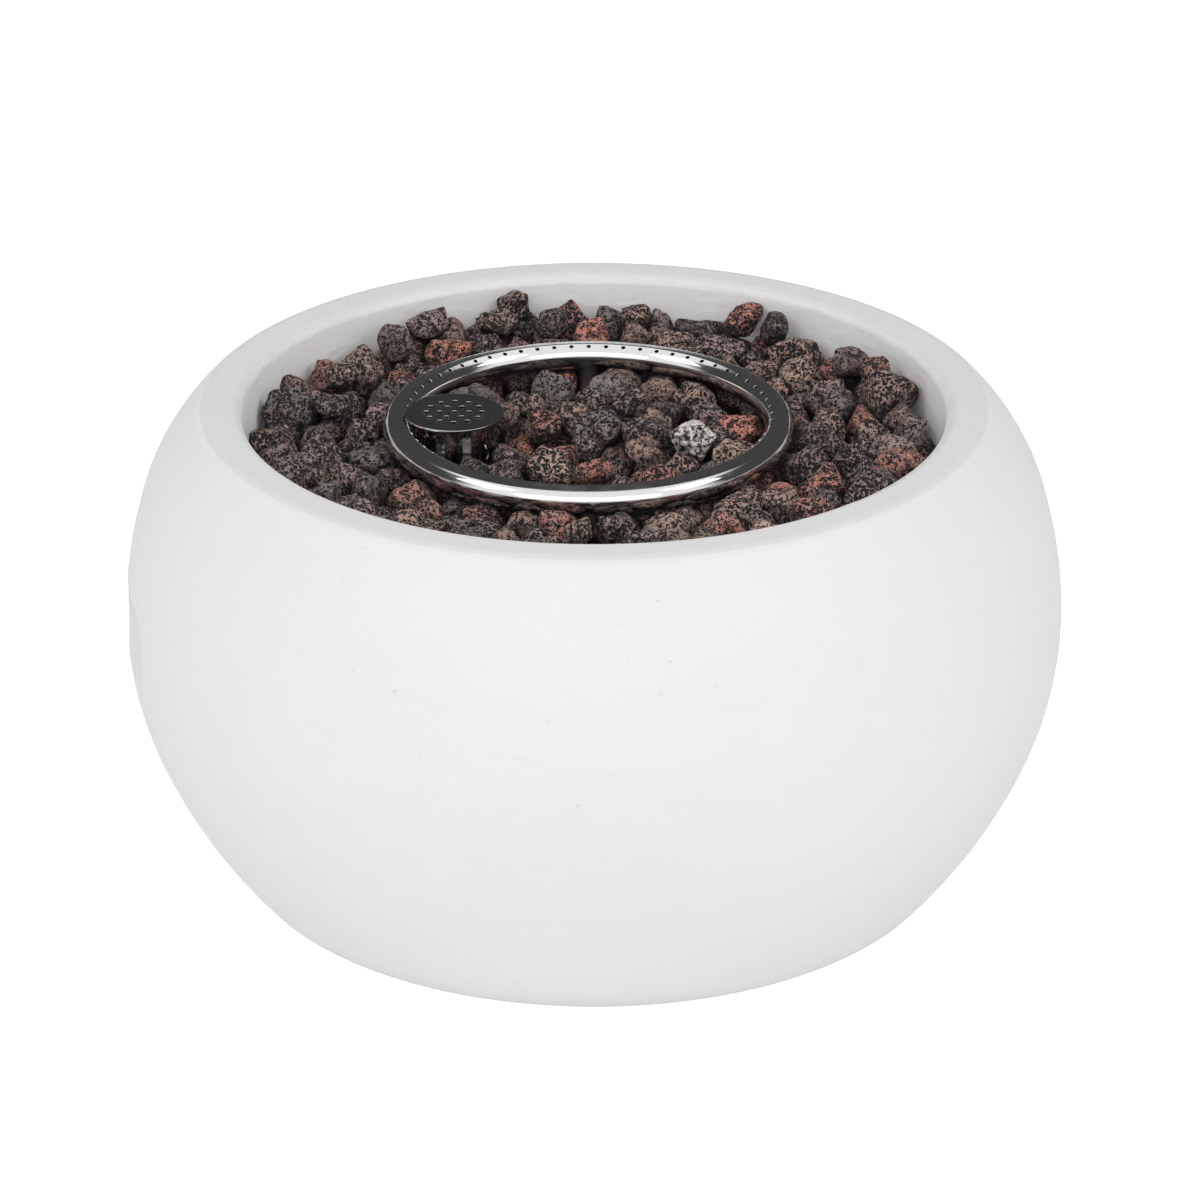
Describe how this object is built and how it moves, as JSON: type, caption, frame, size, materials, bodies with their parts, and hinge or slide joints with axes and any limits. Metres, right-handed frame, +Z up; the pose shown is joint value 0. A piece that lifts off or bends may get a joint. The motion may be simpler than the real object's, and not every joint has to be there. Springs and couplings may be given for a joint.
{
  "type": "propane fire pit",
  "caption": "Round cast fire bowl with a hand pocket on each side, a lava rock bed around a gas ring burner, a perforated igniter guard and a control panel at the back.",
  "frame": {"origin": "centre of the bowl on the ground", "axes": "+Z up, -Y is the side seen in the picture, +Y is the back with the controls and the gas inlet"},
  "size_m": [0.7, 0.6995, 0.361],
  "materials": {
    "cast_shell": "matte cast cement",
    "pan_steel": "dull",
    "stainless": "polished",
    "fastener_steel": "satin",
    "cast_aluminium": "satin",
    "brass": "satin",
    "ceramic": "matte",
    "black_plastic": "satin",
    "lead_sleeve": "matte",
    "battery_sleeve": "gloss",
    "lava_rock": "porous"
  },
  "bodies": {
    "fire_pit": {"bowl_body": "cast_shell", "pan_ledge": "cast_shell", "fire_pan": "pan_steel", "burner_ring": "stainless", "burner_feed_bar": "stainless", "igniter_guard": "stainless", "guard_cap": "stainless", "control_panel": "stainless", "sensor_bracket": "stainless", "flame_probe": "stainless", "spark_rod": "stainless", "hub_nut": "fastener_steel", "guard_screws": "fastener_steel", "panel_screws": "fastener_steel", "valve_screws": "fastener_steel", "valve_spring": "fastener_steel", "button_spring": "fastener_steel", "air_mixer": "cast_aluminium", "valve_body": "cast_aluminium", "inlet_pipe": "cast_aluminium", "supply_pipe": "cast_aluminium", "gas_jet": "brass", "gas_inlet_fitting": "brass", "inlet_nut": "brass", "pipe_nuts": "brass", "safety_magnet": "brass", "probe_lead": "brass", "electrode_insulator": "ceramic", "igniter_housing": "black_plastic", "igniter_nut": "black_plastic", "spark_lead": "lead_sleeve", "battery": "battery_sleeve", "lava_rock_inner": "lava_rock", "lava_rock_back_left": "lava_rock", "lava_rock_back_right": "lava_rock", "lava_rock_front_left": "lava_rock", "lava_rock_front_right": "lava_rock"},
    "valve_plunger": {"thrust_cup": "brass"},
    "knob": {"valve_stem": "fastener_steel", "control_knob": "black_plastic"},
    "igniter_plunger": {"igniter_button": "black_plastic"}
  },
  "joints": [
    {"name": "knob_push", "type": "slide", "parent": "fire_pit", "child": "valve_plunger", "axis": [0, -1, 0], "range_m": [0, 0.004], "stiffness_N_per_m": 900, "springref_m": -0.006, "deforming": ["valve_spring"]},
    {"name": "knob_turn", "type": "hinge", "parent": "valve_plunger", "child": "knob", "pos_m": [0.034, 0.322, 0.165], "axis": [0, 1, 0], "range_deg": [0, 180]},
    {"name": "igniter_push", "type": "slide", "parent": "fire_pit", "child": "igniter_plunger", "axis": [0, -1, 0], "range_m": [0, 0.003], "stiffness_N_per_m": 900, "springref_m": -0.003, "deforming": ["button_spring"]}
  ]
}
